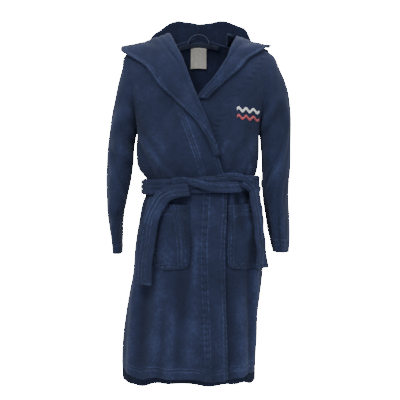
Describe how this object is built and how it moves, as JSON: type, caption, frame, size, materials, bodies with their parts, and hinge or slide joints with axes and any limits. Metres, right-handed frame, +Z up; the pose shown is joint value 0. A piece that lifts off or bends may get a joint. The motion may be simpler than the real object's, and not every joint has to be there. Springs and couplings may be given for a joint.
{
  "type": "bathrobe",
  "caption": "Knee-length hooded towelling bathrobe with wide lapels, two patch pockets and a tied waist belt, hanging closed from its neck loop.",
  "frame": {"origin": "under the top of the hanger loop, where the hook bears", "axes": "+Z up, -Y the front of the robe, +X the wearer's left"},
  "size_m": [0.5088, 0.2741, 1.0027],
  "materials": {
    "towelling": "napped cotton towelling, matt",
    "tape": "flat woven cotton tape",
    "label": "blank woven label",
    "thread_white": "satin stitch thread",
    "thread_red": "satin stitch thread"
  },
  "bodies": {
    "root": {"back_panel": "towelling", "right_front": "towelling", "left_front": "towelling", "right_front_facing": "towelling", "left_front_facing": "towelling", "right_lapel": "towelling", "left_lapel": "towelling", "right_pocket": "towelling", "left_pocket": "towelling", "belt_waist": "towelling", "belt_tie": "towelling", "right_belt_loop": "towelling", "left_belt_loop": "towelling", "neck_tape": "tape", "size_label": "label", "hanger_loop": "tape", "motif_upper_wave": "thread_white", "motif_lower_wave": "thread_red"},
    "front_flap": {"right_front_flap": "towelling", "right_flap_facing": "towelling"},
    "right_sleeve": {"right_sleeve": "towelling"},
    "left_sleeve": {"left_sleeve": "towelling"},
    "hood": {"right_hood": "towelling", "left_hood": "towelling"},
    "right_belt_tail": {"right_belt_tail": "towelling"},
    "left_belt_tail": {"left_belt_tail": "towelling"}
  },
  "joints": [
    {"name": "right_sleeve_swing", "type": "hinge", "parent": "root", "child": "right_sleeve", "pos_m": [-0.1935, -0.0458, -0.0518], "axis": [0, 1, 0], "range_deg": [0, 55]},
    {"name": "left_sleeve_swing", "type": "hinge", "parent": "root", "child": "left_sleeve", "pos_m": [0.1935, -0.0458, -0.0518], "axis": [0, -1, 0], "range_deg": [0, 55]},
    {"name": "hood_lift", "type": "hinge", "parent": "root", "child": "hood", "pos_m": [0, 0.0087, -0.0178], "axis": [1, 0, 0], "range_deg": [0, 95]},
    {"name": "flap_fold", "type": "hinge", "parent": "root", "child": "front_flap", "pos_m": [-0.0166, -0.15, -0.4527], "axis": [0.0014, -0.0254, -0.9997], "range_deg": [0, 70]},
    {"name": "right_tail_swing", "type": "hinge", "parent": "root", "child": "right_belt_tail", "pos_m": [-0.0657, -0.162, -0.4185], "axis": [-0.9753, 0.2211, 0], "range_deg": [0, 60]},
    {"name": "left_tail_swing", "type": "hinge", "parent": "root", "child": "left_belt_tail", "pos_m": [0.1324, -0.1373, -0.404], "axis": [-0.8243, -0.5662, 0], "range_deg": [0, 60]}
  ]
}
